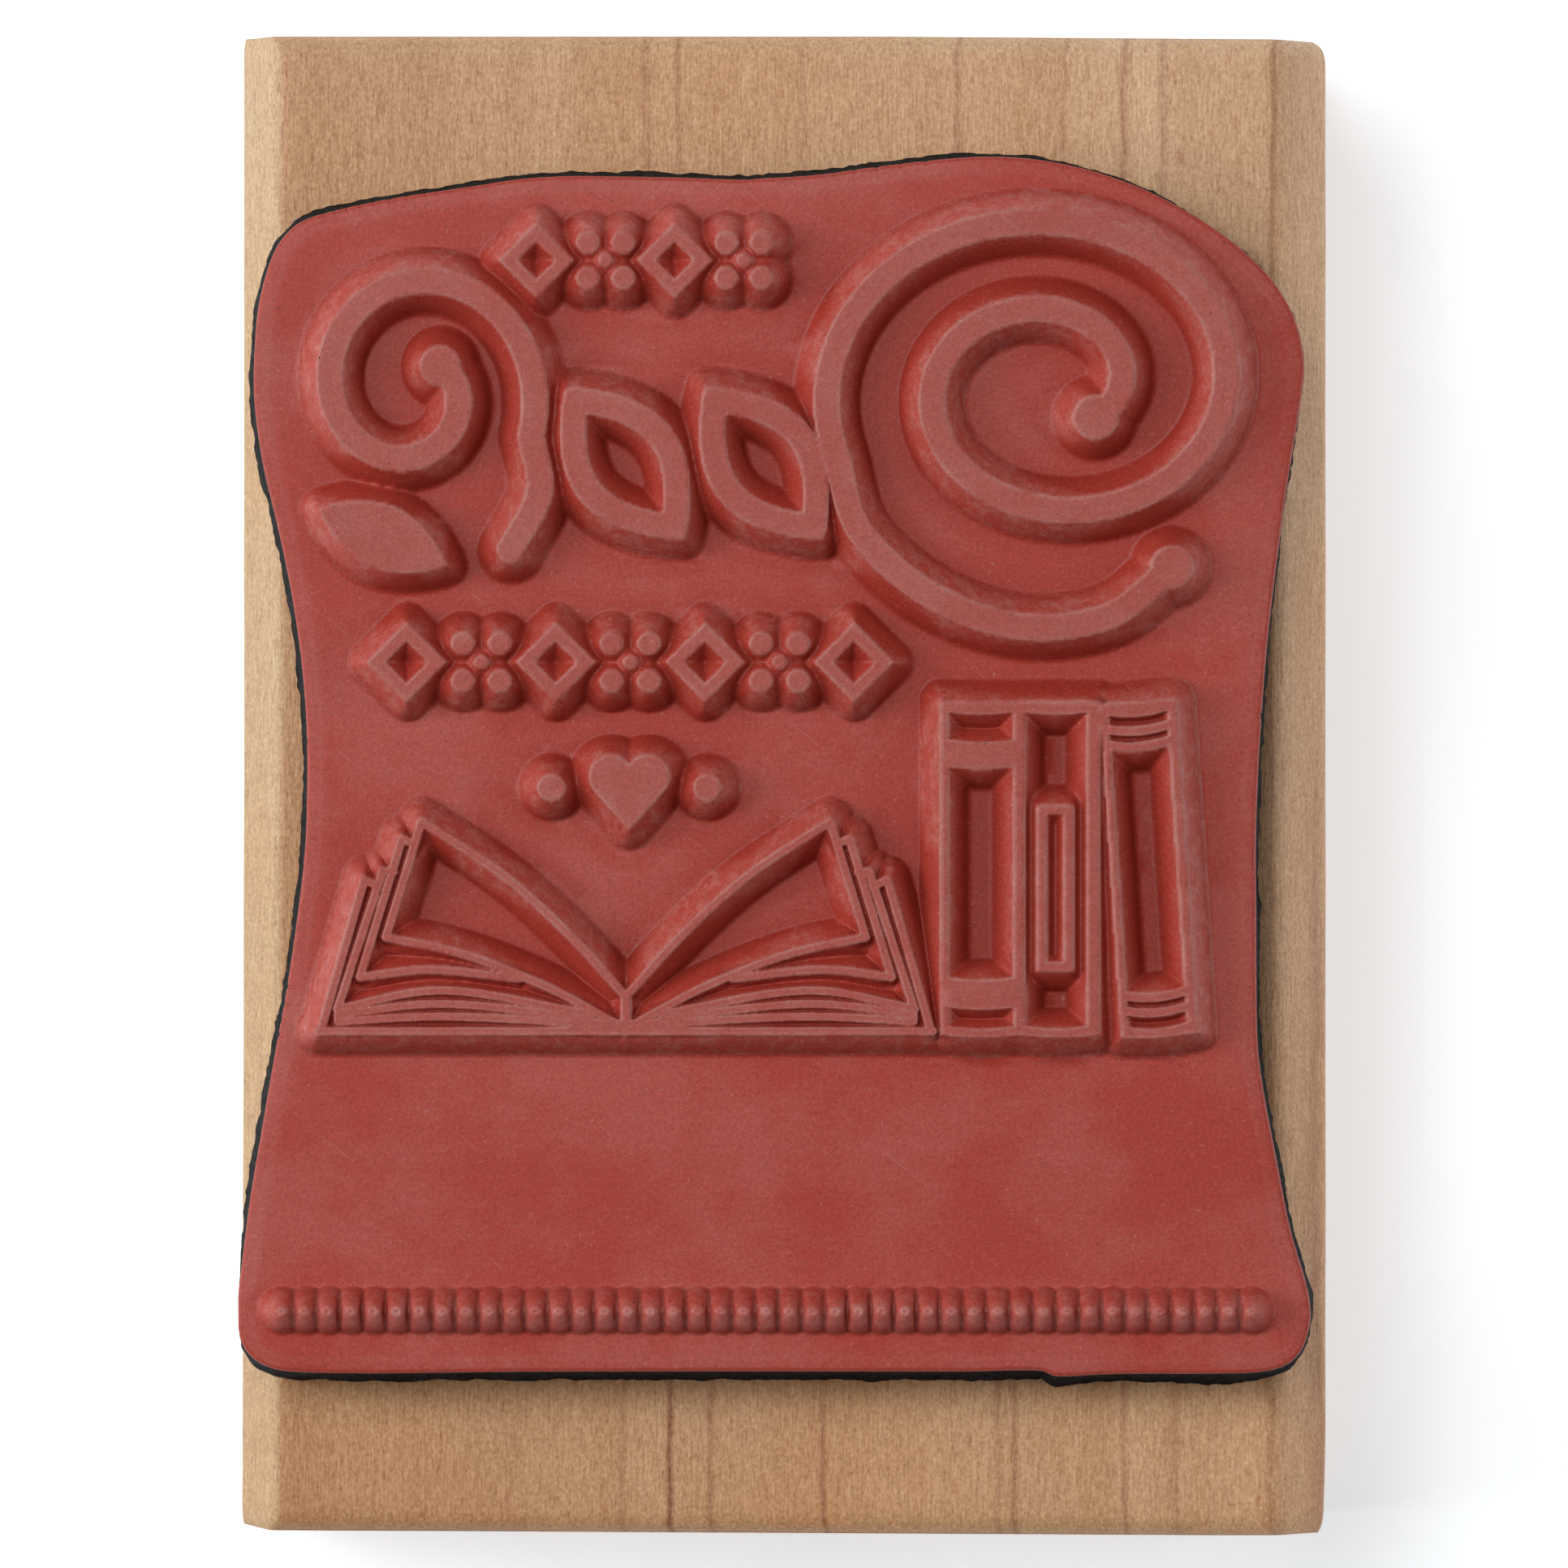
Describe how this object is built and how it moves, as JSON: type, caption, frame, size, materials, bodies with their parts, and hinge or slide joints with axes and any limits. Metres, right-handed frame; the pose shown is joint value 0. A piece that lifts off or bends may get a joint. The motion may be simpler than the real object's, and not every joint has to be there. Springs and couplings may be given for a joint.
{
  "type": "rubber stamp",
  "caption": "Wood-mounted rubber stamp: bevelled hardwood block, foam cushion and a raised rubber die with scrollwork, an open book, book spines and a dotted rule.",
  "frame": {"origin": "centre of the block's back face, which the stamp rests on with its die facing up", "axes": "+Y along the block and its grain, towards the end with the scrollwork; +Z from the back face to the printing face; +X across the block"},
  "size_m": [0.0508, 0.0698, 0.0248],
  "materials": {
    "wood": "sanded bare maple, fine straight grain",
    "mounting_adhesive": "thin dark adhesive line",
    "foam": "closed-cell foam with a rough cut edge",
    "die_adhesive": "thin translucent adhesive film",
    "die_rubber": "moulded red rubber, satin, paler dusty printing faces"
  },
  "bodies": {
    "mount": {"wood_block": "wood", "mounting_adhesive_film": "mounting_adhesive", "foam_cushion": "foam"},
    "die": {"die_adhesive_film": "die_adhesive", "rubber_die": "die_rubber"}
  },
  "joints": [
    {"name": "cushion_give", "type": "slide", "parent": "mount", "child": "die", "axis": [0, 0, 1], "range_m": [-0.0008, 0], "stiffness_N_per_m": 150000, "deforming": ["foam_cushion"]}
  ]
}
